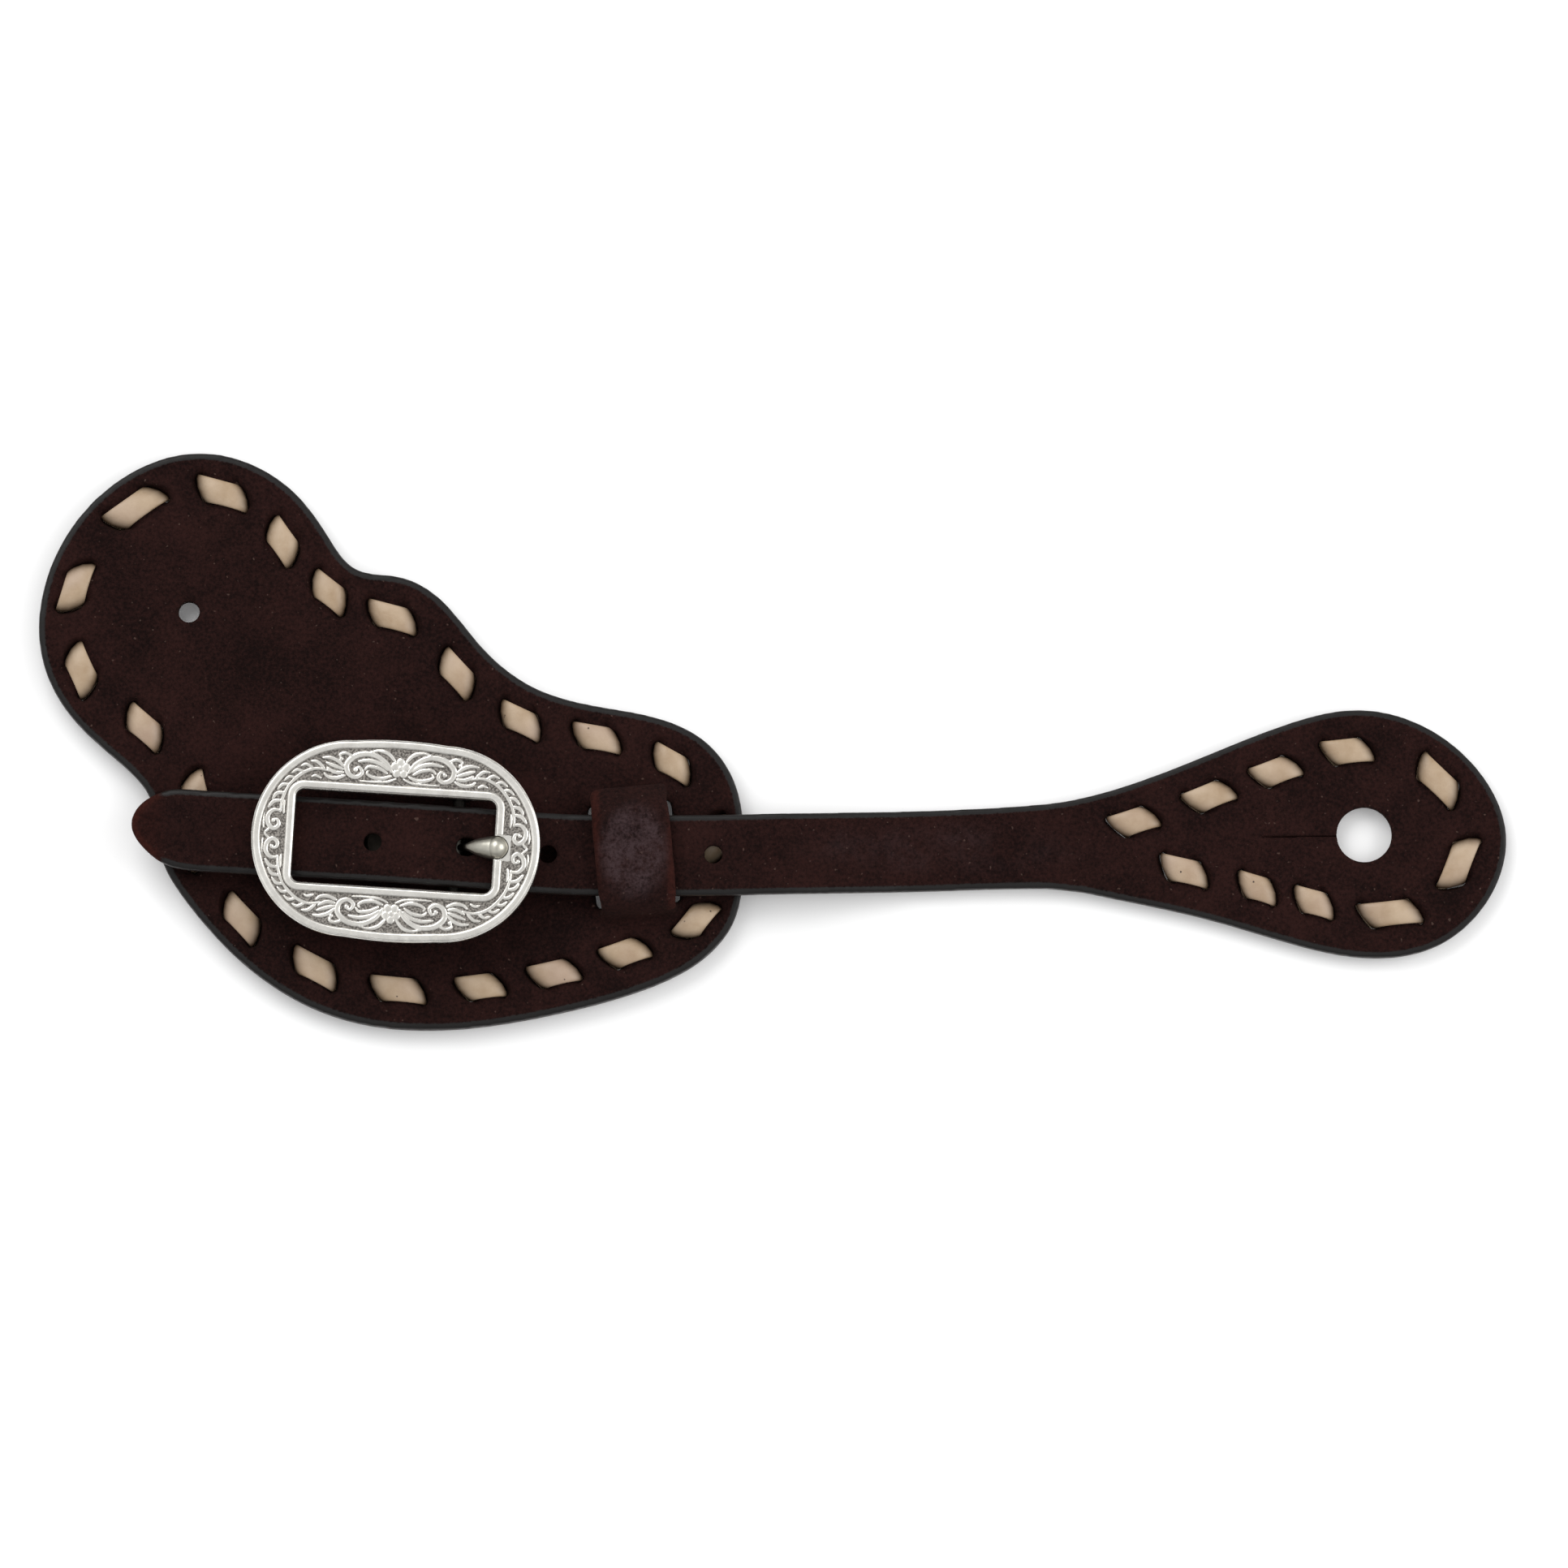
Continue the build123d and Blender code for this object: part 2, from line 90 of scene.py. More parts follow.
# %% Materials are built from small helpers
def new_material(name):
    """A node material: its tree, its shader, and a short way to add nodes to it."""
    material = bpy.data.materials.new(name)
    material.use_nodes = True
    tree = material.node_tree
    shader = tree.nodes["Principled BSDF"]

    def add(kind, inputs=None, **settings):
        node = tree.nodes.new(kind)
        for key, value in settings.items():
            setattr(node, key, value)
        for key, value in (inputs or {}).items():
            if isinstance(value, bpy.types.NodeSocket):
                tree.links.new(value, node.inputs[key])
            else:
                node.inputs[key].default_value = value
        return node

    return material, tree, shader, add


def noisy(add, where, scale, detail=4.0, rough=0.6):
    """A noise pattern's value, with scale in cycles per metre."""
    settings = {"Vector": where, "Scale": scale, "Detail": detail, "Roughness": rough}
    return add("ShaderNodeTexNoise", settings).outputs[0]


def ramp(add, value, low, high, start=0.0, end=1.0):
    """A value mapped from low..high to start..end, held at both ends."""
    settings = {0: value, 1: low, 2: high, 3: start, 4: end}
    return add("ShaderNodeMapRange", settings, clamp=True).outputs[0]


def mix(add, share, one, other):
    """A colour between two, by share."""
    settings = {0: share, 6: one, 7: other}
    return add("ShaderNodeMix", settings, data_type="RGBA").outputs[2]


def both(add, one, other, how="ADD"):
    """Two values joined by a sum, a product or another operation."""
    return add("ShaderNodeMath", {0: one, 1: other}, operation=how).outputs[0]


def painted(add, name):
    """A value painted on the mesh."""
    return add("ShaderNodeAttribute", attribute_name=name).outputs["Fac"]


def relief(add, tree, shader, height, depth):
    """Gives the shader a fine relief from a height of 0 to 1, with its depth in metres."""
    bump = add("ShaderNodeBump", {"Height": height, "Distance": depth})
    tree.links.new(bump.outputs[0], shader.inputs["Normal"])


# %% Table, sky and lamps
table_mesh = bpy.data.meshes.new("table")
bm = bmesh.new()
bmesh.ops.create_grid(bm, x_segments=1, y_segments=1, size=3.0)
bm.to_mesh(table_mesh)
bm.free()
table = bpy.data.objects.new("table", table_mesh)
bpy.context.scene.collection.objects.link(table)
paper, _, paper_shader, _ = new_material("white_paper")
paper_shader.inputs["Base Color"].default_value = (0.95, 0.95, 0.95, 1)
paper_shader.inputs["Roughness"].default_value = 0.9
paper_shader.inputs["Specular IOR Level"].default_value = 0.1
paper_shader.inputs["Emission Color"].default_value = (1, 1, 1, 1)
paper_shader.inputs["Emission Strength"].default_value = 0.05
table.data.materials.append(paper)


def soft_lamp(name, place, size, watts):
    """A square lamp that points at the strap."""
    lamp = bpy.data.lights.new(name, "AREA")
    lamp.size = size
    lamp.energy = watts
    holder = bpy.data.objects.new(name, lamp)
    holder.location = place
    holder.rotation_mode = "QUATERNION"
    holder.rotation_quaternion = (aim - Vector(place)).to_track_quat("-Z", "Y")
    bpy.context.scene.collection.objects.link(holder)


soft_lamp("window", (-0.5, 0.8, 1.0), 1.0, 9.0)
soft_lamp("side", (1.0, 0.1, 0.7), 0.8, 5.0)
world = bpy.data.worlds.new("sky")
world.use_nodes = True
sky = world.node_tree
sky.nodes["Background"].inputs[0].default_value = (1.0, 1.0, 1.0, 1)


def sky_node(kind, *values, operation=None):
    """A node of the sky's tree, with links or constants on its first sockets."""
    node = sky.nodes.new(kind)
    if operation:
        node.operation = operation
    for socket, value in zip(node.inputs, values):
        if isinstance(value, bpy.types.NodeSocket):
            sky.links.new(value, socket)
        else:
            socket.default_value = value
    return node


facing = sky_node("ShaderNodeSeparateXYZ", sky_node("ShaderNodeTexCoord").outputs["Generated"])
# a map range takes its value, from low, from high, to low and to high
overhead = sky_node("ShaderNodeMapRange", facing.outputs[2], 0.1, 0.95, 0.24, 1.08)
sideways = sky_node("ShaderNodeMath", facing.outputs[0], operation="ABSOLUTE")
past_ends = sky_node("ShaderNodeMapRange", sideways.outputs[0], 0.05, 0.75, 0.66, 1.36)
strength = sky_node("ShaderNodeMath", overhead.outputs[0], past_ends.outputs[0], operation="MULTIPLY")
sky.links.new(strength.outputs[0], sky.nodes["Background"].inputs[1])
bpy.context.scene.world = world
bpy.context.scene.view_settings.view_transform = "Standard"
print("stage ready")

# %% [markdown]
# ## Where the lace goes
# A level cut through a CAD lace at half the leather's depth leaves one small rectangle for
# each place where the lace passes through a slit. The part above the cut joins those places
# two by two into front spans, the part below into back spans, and together they give the
# lace's whole route.


# %% Read a lace's route from its CAD solid
def merged_copy(node):
    """A bmesh of a CAD node with its loose triangles joined up."""
    bm = bmesh.new()
    bm.from_mesh(nodes[node].data)
    bmesh.ops.remove_doubles(bm, verts=bm.verts, dist=0.01 * MM)
    return bm


def islands(elements, neighbours):
    """Groups of elements that hang together."""
    groups, seen = [], set()
    for start in elements:
        if start in seen:
            continue
        group, queue = [], [start]
        seen.add(start)
        while queue:
            here = queue.pop()
            group.append(here)
            for other in neighbours(here):
                if other not in seen:
                    seen.add(other)
                    queue.append(other)
        groups.append(group)
    return groups


def beside_on_rim(edge):
    """The boundary edges that share a vertex with a boundary edge."""
    return [other for vert in edge.verts for other in vert.link_edges if other.is_boundary]


def slit_from(edges):
    """The middle of one cut rectangle, and half of its long side as a vector."""
    longest = max(edges, key=lambda e: e.calc_length())
    along = (longest.verts[1].co - longest.verts[0].co).normalized()
    if along.y < 0:
        along.negate()
    across = Vector((-along.y, along.x, 0))
    points = [v.co for e in edges for v in e.verts]
    placed = [[point.dot(axis) for point in points] for axis in (along, across)]
    reach = [(min(places), max(places)) for places in placed]
    middle = along * sum(reach[0]) / 2 + across * sum(reach[1]) / 2
    return Vector((middle.x, middle.y, 0)), along * (reach[0][1] - reach[0][0]) / 2


def lace_spans(node, level, above):
    """The slits that the lace joins two by two, above or below a level."""
    bm = merged_copy(node)
    bmesh.ops.bisect_plane(
        bm, geom=[*bm.verts, *bm.edges, *bm.faces], plane_co=(0, 0, level), plane_no=(0, 0, 1),
        clear_inner=above, clear_outer=not above,
    )
    pairs = []
    for span in islands(bm.verts, lambda v: [e.other_vert(v) for e in v.link_edges]):
        rim = [e for v in span for e in v.link_edges if e.is_boundary]
        legs = islands(rim, beside_on_rim)
        pair = [slit_from(leg) for leg in legs]
        if len(pair) == 1:      # a loose end: its pair is as far again past the end
            middle, reach = pair[0]
            end = max((v.co.xy.to_3d() - middle for v in span), key=lambda offset: offset.length)
            pair.append((middle + 2 * end.project(Vector((reach.y, -reach.x, 0))), None))
        pairs.append(pair)
    bm.free()
    return pairs


def lace_route(node, level):
    """The lace's spans in order: (1 for front or -1 for back, slit, slit)."""
    fronts, backs = lace_spans(node, level, True), lace_spans(node, level, False)
    loose = [pair for pair in backs if pair[1][1] is None]
    route = []
    if loose:
        here = loose[0][0]
        route.append((-1, (loose[0][1][0], here[1]), here))
    else:
        here = fronts[0][0]
    side = 1
    while len(route) < len(fronts) + len(backs):
        spans = fronts if side > 0 else backs
        pair = min(spans, key=lambda pair: min((s[0] - here[0]).length for s in pair))
        other = max(pair, key=lambda s: (s[0] - here[0]).length)
        route.append((side, here, (other[0], other[1] or here[1])))
        here, side = other, -side
    return route


PANEL_MIDDLE, DROP_MIDDLE = 3.1 * MM, 2.6 * MM   # half the leather's depth at each lace
panel_route = lace_route("panel_lace", PANEL_MIDDLE)
drop_route = lace_route("billet_lace", DROP_MIDDLE)
print("spans:", len(panel_route), "of the panel's lace,", len(drop_route), "of the teardrop's")
print("slit length, mm:", round(2 * panel_route[0][1][1].length / MM, 2))

# %% [markdown]
# ## The lace
# Flat lace is stiff enough to stand in a soft arch over each front span and to dive into its
# slits. One ribbon section is extruded ring by ring along the whole route and closed on
# itself, or capped where the lace has two loose tails. On the front the middle of the lace
# stands higher and reaches further out than its edges, which makes the rounded ends that a
# buckstitch shows. In a slit the lace swells a little, so that it fills it.

# %% Lace section and arch
ARCH_POWER = 2.2            # squareness of the front arch
FLAT_POWER = 6.0             # squareness of the back spans
END_BOW = 0.75 * MM           # how much further the middle of the lace reaches at a slit
EDGE_DROOP = 0.38 * MM       # how much lower its edges lie
HALF_THICK = 0.52 * MM
SLIT_WIDER, SLIT_THICKER = 0.08, 0.35    # how much the lace swells in a slit, as shares
SECTION_POINTS = 20
SECTION_SQUARE = 0.42        # exponent that makes the section nearly a rectangle
FRONT_STEPS, BACK_STEPS = 24, 12
PANEL_RISE, PANEL_FALL = 2.72 * MM, 2.55 * MM    # from the middle level to the lace's own middle
DROP_RISE, DROP_FALL = 2.22 * MM, 2.05 * MM


def arch_at(turn, power):
    """(place from -1 to 1, lift from 0 to 1) on a superellipse, for turn from 0 to pi."""
    cosine, sine = -math.cos(turn), math.sin(turn)
    return math.copysign(abs(cosine) ** (2 / power), cosine), max(sine, 0.0) ** (2 / power)


def fade(value, full, none):
    """1 up to full, 0 from none on, and a smooth step between."""
    share = min(1.0, max(0.0, (none - value) / (none - full)))
    return share * share * (3 - 2 * share)


def lace_point(span, turn, v, t, level, rise):
    """A point of the lace: v across it and t through it, both from -1 to 1."""
    side, (start, reach_start), (end, reach_end) = span
    power = ARCH_POWER if side > 0 else FLAT_POWER
    place, lift = arch_at(turn, power)
    before, after = arch_at(max(turn - 0.02, 0.0), power), arch_at(min(turn + 0.02, math.pi), power)
    ahead = end - start
    v *= 1 + SLIT_WIDER * (1 - lift)
    run = (after[0] - before[0]) * ahead.length / 2
    climb = (after[1] - before[1]) * rise * side
    size = math.hypot(run, climb)
    ahead.normalize()
    outward = (Vector((0, 0, run)) - ahead * climb) / size
    share = (place + 1) / 2
    point = start.lerp(end, share) + reach_start.lerp(reach_end, share) * v
    point.z = level + side * rise * lift
    point += outward * t * HALF_THICK * (1 + SLIT_THICKER * (1 - lift))
    if side > 0:
        bow = END_BOW * max(0.0, 1 - v * v) * min(1.0, 3 * lift)
        point += ahead * place * bow
        point.z -= EDGE_DROOP * v * v * lift
    return point


def lace_mesh(route, level, rise, fall):
    """A ribbon along the route, extruded ring by ring from one section."""
    bm = bmesh.new()
    order = bm.verts.layers.int.new("order")
    dive_shade = bm.verts.layers.float.new("dive_shade")
    ring = bmesh.ops.create_circle(bm, segments=SECTION_POINTS, radius=1.0)["verts"]
    section = []
    for index, vert in enumerate(ring):
        vert[order] = index
        turn = 2 * math.pi * index / SECTION_POINTS
        c, s = math.cos(turn), math.sin(turn)
        section.append(tuple(math.copysign(abs(x) ** SECTION_SQUARE, x) for x in (c, s)))
    is_open = route[0][0] < 0
    stations = []
    for number, span in enumerate(route):
        steps = FRONT_STEPS if span[0] > 0 else BACK_STEPS
        begin = steps // 2 if is_open and number == 0 else 0
        finish = steps // 2 + 1 if is_open and number == len(route) - 1 else steps
        stations += [(span, math.pi * step / steps) for step in range(begin, finish)]
    first = edges = list(bm.edges)
    verts = ring
    for number, (span, turn) in enumerate(stations):
        if number:
            made = bmesh.ops.extrude_edge_only(bm, edges=edges)["geom"]
            verts = [g for g in made if isinstance(g, bmesh.types.BMVert)]
            fresh = set(verts)
            edges = [g for g in made if isinstance(g, bmesh.types.BMEdge) and set(g.verts) <= fresh]
        side = span[0]
        # painted shade: the lace darkens towards the ends of each front span, where it dives into a
        # slit under the leather's lip
        shaded = fade(arch_at(turn, ARCH_POWER)[1], 0.30, 0.93) if side > 0 else 0.0
        for vert in verts:
            v, t = section[vert[order]]
            vert.co = lace_point(span, turn, v, t * side, level, rise if side > 0 else fall)
            vert[dive_shade] = shaded
    if is_open:
        bmesh.ops.holes_fill(bm, edges=first + edges, sides=0)
    else:
        bmesh.ops.bridge_loops(bm, edges=first + edges)
    bmesh.ops.recalc_face_normals(bm, faces=bm.faces)
    return bm


def piece_from(name, bm, body, material):
    """A finished, smooth shaded piece that rides on a body."""
    mesh = bpy.data.meshes.new(name)
    bm.to_mesh(mesh)
    bm.free()
    mesh.shade_smooth()
    mesh.materials.append(material)
    piece = bpy.data.objects.new(name, mesh)
    bpy.context.scene.collection.objects.link(piece)
    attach(piece, body)
    print(name, len(mesh.polygons), "faces")
    return piece


# %% Lace material: undyed, lightly glazed lace with a few dark pores, and painted shade where it dives into a slit
lace_finish, tree, shader, add = new_material("lace_leather")
where = add("ShaderNodeTexCoord").outputs["Object"]
tone = noisy(add, where, 160.0, 4.0, 0.6)
colour = mix(add, ramp(add, tone, 0.35, 0.65), (0.330, 0.230, 0.140, 1), (0.430, 0.322, 0.220, 1))
blush = ramp(add, noisy(add, where, 60.0, 2.0), 0.45, 0.7, 0.0, 0.5)
colour = mix(add, blush, colour, (0.340, 0.240, 0.195, 1))
pores = add("ShaderNodeTexVoronoi", {"Vector": where, "Scale": 420.0})
chosen = ramp(add, add("ShaderNodeSeparateColor", {0: pores.outputs["Color"]}).outputs[0], 0.70, 0.72)
pore = both(add, ramp(add, pores.outputs["Distance"], 0.05, 0.10, 1.0, 0.0), chosen, "MULTIPLY")
colour = mix(add, pore, colour, (0.03, 0.016, 0.010, 1))
# painted shade: near-black brown where the lace dives into a slit
colour = mix(add, painted(add, "dive_shade"), colour, (0.045, 0.026, 0.014, 1))
tree.links.new(colour, shader.inputs["Base Color"])
tree.links.new(ramp(add, tone, 0.3, 0.7, 0.34, 0.5), shader.inputs["Roughness"])
shader.inputs["Specular IOR Level"].default_value = 0.5
grain = both(add, noisy(add, where, 2600.0, 4.0), both(add, pore, -1.5, "MULTIPLY"))
relief(add, tree, shader, grain, 0.05 * MM)

# %% Make the two laces
panel_bm = lace_mesh(panel_route, PANEL_MIDDLE, PANEL_RISE, PANEL_FALL)
panel_lacing = piece_from("panel_lacing", panel_bm, "panel", lace_finish)
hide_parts("panel_lace")
drop_bm = lace_mesh(drop_route, DROP_MIDDLE, DROP_RISE, DROP_FALL)
drop_lacing = piece_from("drop_lacing", drop_bm, "billet", lace_finish)
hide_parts("billet_lace")

# %% [markdown]
# ## Leather
# The hide is used flesh side out: a short nap with a soft, dull colour that is never even.
# Its cut edges are dyed black and burnished, so they are smoother than the face. Three maps
# are painted on the mesh: `edge` where the black dye is, `wear` where rubbing has greyed the
# nap, and `raw` where a cut was left undyed.


# %% Leather material
def roughout(name, dark, light):
    """Napped leather with a mottled face, pale specks, worn places and burnished edges."""
    material, tree, shader, add = new_material(name)
    where = add("ShaderNodeTexCoord").outputs["Object"]
    clouds = noisy(add, where, 90.0, 5.0, 0.6)
    nap = noisy(add, where, 1500.0, 6.0, 0.75)
    fibres = noisy(add, where, 4200.0, 3.0, 0.7)
    mottle = both(add, both(add, clouds, 0.35, "MULTIPLY"), both(add, nap, 0.65, "MULTIPLY"))
    face = mix(add, ramp(add, mottle, 0.41, 0.59), dark, light)
    speck = ramp(add, noisy(add, where, 1150.0, 1.0, 0.4), 0.735, 0.79, 0.0, 0.5)
    face = mix(add, speck, face, (0.10, 0.062, 0.050, 1))
    raw = both(add, painted(add, "raw"), ramp(add, nap, 0.3, 0.7, 0.2, 0.9), "MULTIPLY")
    face = mix(add, raw, face, (0.046, 0.0100, 0.0065, 1))
    rubbed = both(add, noisy(add, where, 420.0, 3.0, 0.7), nap, "MULTIPLY")
    worn = both(add, painted(add, "wear"), ramp(add, rubbed, 0.17, 0.34, 0.1, 1.0), "MULTIPLY")
    face = mix(add, worn, face, (0.043, 0.0260, 0.0280, 1))
    ragged = both(add, painted(add, "edge"), ramp(add, nap, 0.3, 0.7, -0.2, 0.2))
    dyed = ramp(add, ragged, 0.36, 0.64)
    colour = mix(add, dyed, face, (0.0080, 0.0072, 0.0070, 1))
    tree.links.new(colour, shader.inputs["Base Color"])
    dull = ramp(add, fibres, 0.3, 0.7, 0.84, 0.98)
    polish = ramp(add, noisy(add, where, 700.0, 3.0), 0.35, 0.65, 0.34, 0.6)
    gloss = add("ShaderNodeMix", {0: dyed, 2: dull, 3: polish}).outputs[0]
    tree.links.new(gloss, shader.inputs["Roughness"])
    tree.links.new(both(add, dyed, 0.22, "MULTIPLY"), shader.inputs["Coat Weight"])
    shader.inputs["Coat Roughness"].default_value = 0.36
    shader.inputs["Specular IOR Level"].default_value = 0.10
    shader.inputs["Sheen Weight"].default_value = 0.025
    shader.inputs["Sheen Roughness"].default_value = 0.5
    shader.inputs["Sheen Tint"].default_value = (0.6, 0.26, 0.2, 1)
    pile = both(add, both(add, nap, 0.7, "MULTIPLY"), both(add, fibres, 0.3, "MULTIPLY"))
    flattened = both(add, pile, ramp(add, dyed, 0.0, 1.0, 1.0, 0.4), "MULTIPLY")
    relief(add, tree, shader, flattened, 0.25 * MM)
    return material


hide = roughout("roughout_leather", (0.0050, 0.0014, 0.0012, 1), (0.0215, 0.0070, 0.0058, 1))
print("leather ready")

# %% [markdown]
# ### From CAD solid to leather
# The CAD leather has the right outline, slits and holes, but its corners are square. A copy
# of it is remeshed into small even faces, and smoothing rounds every cut edge as an edge
# beveller does. Even faces also let the surface sink where the lace pulls on it, and the
# outer lip of each slit bows out round the lace.


# %% Remesh, outline and fades
def remeshed(bm, voxel, rounds):
    """The same solid in even faces, with its corners rounded by smoothing."""
    mesh = bpy.data.meshes.new("even")
    bm.to_mesh(mesh)
    bm.free()
    holder = bpy.data.objects.new("even", mesh)
    bpy.context.scene.collection.objects.link(holder)
    modifier = holder.modifiers.new("even", "REMESH")
    modifier.mode = "VOXEL"
    modifier.voxel_size = voxel
    evaluated = holder.evaluated_get(bpy.context.evaluated_depsgraph_get())
    bm = bmesh.new()
    bm.from_mesh(evaluated.to_mesh())
    bpy.data.objects.remove(holder)
    for _ in range(rounds):
        smooth(bm, bm.verts)
    return bm


def smooth(bm, verts):
    """One round of smoothing."""
    axes = {"use_axis_x": True, "use_axis_y": True, "use_axis_z": True}
    bmesh.ops.smooth_vert(bm, verts=verts, factor=0.5, **axes)


def outline_tree(node, step=0.3 * MM):
    """A search tree over points along a strap's outer cut edge, seen from above."""
    bm = merged_copy(node)
    sharp = [
        e for e in bm.edges
        if len(e.link_faces) == 2 and e.calc_face_angle(0) > 1.0
        and min(f.normal.z for f in e.link_faces) < -0.7
    ]
    known = set(sharp)
    rims = islands(sharp, lambda e: [o for v in e.verts for o in v.link_edges if o in known])
    outer = max(rims, key=lambda rim: sum(e.calc_length() for e in rim))
    points = []
    for edge in outer:
        one, other = (v.co.xy.to_3d() for v in edge.verts)
        count = max(1, math.ceil((other - one).length / step))
        points += [one.lerp(other, k / count) for k in range(count)]
    print(node, "outline, mm:", round(sum(e.calc_length() for e in outer) / MM), "rims:", len(rims))
    bm.free()
    tree = KDTree(len(points))
    for index, point in enumerate(points):
        tree.insert(point, index)
    tree.balance()
    return tree


def paint(mesh, name, values):
    """Stores one value for each vertex, for the material to read."""
    attribute = mesh.attributes.new(name, "FLOAT", "POINT")
    attribute.data.foreach_set("value", np.asarray(values, np.float32))


# %% Leather gives way to the lace
PULL_REACH = 1.7 * MM        # how far beside the lace the leather still sinks
LIP_BOW = 1.5 * MM           # how far the outer lip of a slit is pushed out


def pulled(bm, route, level, rise, bottom, top):
    """Sinks leather under each front span, and bows out the outer lip of each slit."""
    spans = [(start, end) for side, start, end in route if side > 0]
    tree = KDTree(len(spans))
    for index, (start, end) in enumerate(spans):
        tree.insert((start[0] + end[0]) / 2, index)
    tree.balance()
    for vert in bm.verts:
        flat = Vector((vert.co.x, vert.co.y, 0))
        height = min(1.0, max(0.0, (vert.co.z - bottom) / (top - bottom)))
        shift, drop = Vector(), 0.0
        for _, index, _ in tree.find_range(flat, 10 * MM):
            (start, reach_start), (end, reach_end) = spans[index]
            ahead = end - start
            half = ahead.length / 2
            reach = (reach_start + reach_end) / 2
            offset = flat - (start + end) / 2
            area = ahead.x * reach.y - ahead.y * reach.x
            place = 2 * (offset.x * reach.y - offset.y * reach.x) / area
            v = (ahead.x * offset.y - ahead.y * offset.x) / area
            inner = half - HALF_THICK
            near = min(1.0, abs(place) * half / inner)
            if abs(place) < 1.02 and vert.co.z > level:
                limit = level + (rise - HALF_THICK) * (1 - near ** ARCH_POWER) ** (1 / ARCH_POWER)
                limit -= EDGE_DROOP * min(1.0, v * v) + 0.04 * MM
                beside = max(0.0, abs(v) - 1) * reach.length
                drop = max(drop, (vert.co.z - limit) * fade(beside, 0.0, PULL_REACH))
            beyond = (abs(place) - 1) * half
            if beyond > 0 and abs(v) < 1.25:
                push = LIP_BOW * (1 - (v / 1.25) ** 2) * fade(beyond, 0.9 * MM, 3.2 * MM) * height
                shift += ahead.normalized() * math.copysign(push, place)
        vert.co += shift
        vert.co.z -= drop


def uneven(bm, amount, above):
    """A face that is never quite flat."""
    for vert in bm.verts:
        if vert.co.z > above:
            vert.co.z += amount * (noise.noise(vert.co * 60) + 0.6 * noise.noise(vert.co * 210))


HOLE_REACH = 0.6 * MM        # how far from a hole's wall the leather is brought back


def true_hole(bm, middle, radius, half=Vector()):
    """Brings a punched hole back to a true circle, or to a slot of that half length."""
    ahead = half.normalized()
    for vert in bm.verts:
        offset = vert.co.xy.to_3d() - middle
        offset -= ahead * max(-half.length, min(half.length, offset.dot(ahead)))
        gap = offset.length - radius
        if abs(gap) < HOLE_REACH:
            keep = (abs(gap) / HOLE_REACH) ** 2
            vert.co += offset.normalized() * gap * (keep - 1)


SPLIT_SIDE = 1.2 * MM        # how far beside a split the leather is drawn towards it
SPLIT_HALF = 0.22 * MM       # half of the split's own width


def split_line(bm, start, end, depth):
    """Presses a narrow split into the leather, and returns the vertices in it."""
    inside = []
    ahead = (end - start).normalized()
    for vert in bm.verts:
        offset = vert.co.xy.to_3d() - start
        along_it, aside = offset.dot(ahead), ahead.x * offset.y - ahead.y * offset.x
        if not 0 < along_it < (end - start).length:
            continue
        if abs(aside) < SPLIT_SIDE and vert.normal.z > 0.2:
            pinch = fade(abs(aside), 0.5 * MM, SPLIT_SIDE) * 0.55
            vert.co -= Vector((-ahead.y, ahead.x, 0)) * aside * pinch
            if abs(aside) < SPLIT_HALF:
                vert.co.z -= depth * min(1.0, 0.35 + along_it / (end - start).length)
                inside.append(vert)
    return inside


# %% Panel leather
PANEL_BOTTOM, PANEL_TOP = 1.0 * MM, 5.2 * MM
panel_outline = outline_tree("wing_panel")
panel = remeshed(merged_copy("wing_panel"), 0.52 * MM, 2)
keeper = [v for v in panel.verts if v.co.z > PANEL_TOP + 0.9 * MM]
print("panel vertices:", len(panel.verts), "of which on the bridge:", len(keeper))
pulled(panel, panel_route, PANEL_MIDDLE, PANEL_RISE, PANEL_BOTTOM, PANEL_TOP)
for _ in range(3):
    smooth(panel, panel.verts)
for _ in range(22):
    smooth(panel, keeper)
true_hole(panel, Vector((-115.1, 25.6, 0)) * MM, 2.1 * MM)
uneven(panel, 0.07 * MM, PANEL_TOP - 1.2 * MM)
wing_panel = piece_from("panel_leather", panel, "panel", hide)
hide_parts("wing_panel")

# %% Paint the panel
edge, wear, raw = [], [], []
bridge_middle = Vector((-27.3, -22.2, 0)) * MM
for vert in wing_panel.data.vertices:
    flat = vert.co.xy.to_3d()
    gap = panel_outline.find(flat)[2]
    edge.append(fade(gap, 0.6 * MM, 1.9 * MM))
    offset = flat - bridge_middle
    high = vert.co.z > PANEL_TOP + 3.0 * MM
    worn = fade(math.hypot(offset.x / 7.6, offset.y / 10.5) / MM, 0.6, 1.05)
    wear.append(worn if high else 0.0)
    raw.append(0.8 * fade(-abs(offset.x), -7.6 * MM, -6.0 * MM) if high else 0.0)
for name, values in (("edge", edge), ("wear", wear), ("raw", raw)):
    paint(wing_panel.data, name, values)

# %% Billet leather
DROP_BOTTOM, DROP_TOP = 1.0 * MM, 4.2 * MM
billet_outline = outline_tree("billet_strap")
billet = remeshed(merged_copy("billet_strap"), 0.42 * MM, 2)
print("billet vertices:", len(billet.verts))
pulled(billet, drop_route, DROP_MIDDLE, DROP_RISE, DROP_BOTTOM, DROP_TOP)
for _ in range(3):
    smooth(billet, billet.verts)
true_hole(billet, Vector((116.7, -18.4, 0)) * MM, 5.45 * MM)             # for the spur's button
for x, y in ((-78.6, -20.5), (-44.2, -22.7), (-27.9, -22.8), (-11.6, -22.7)):
    true_hole(billet, Vector((x, y, 0)) * MM, 1.8 * MM)
true_hole(billet, Vector((-60.1, -21.5, 0)) * MM, 1.85 * MM, Vector((0.3, -0.02, 0)) * MM)   # in use
billet.normal_update()
split_start, split_end = Vector((96.6, -18.9, 0)) * MM, Vector((111.6, -18.7, 0)) * MM
print("vertices in the split:", len(split_line(billet, split_start, split_end, 1.6 * MM)))
billet_leather = piece_from("billet_leather", billet, "billet", hide)
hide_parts("billet_strap")

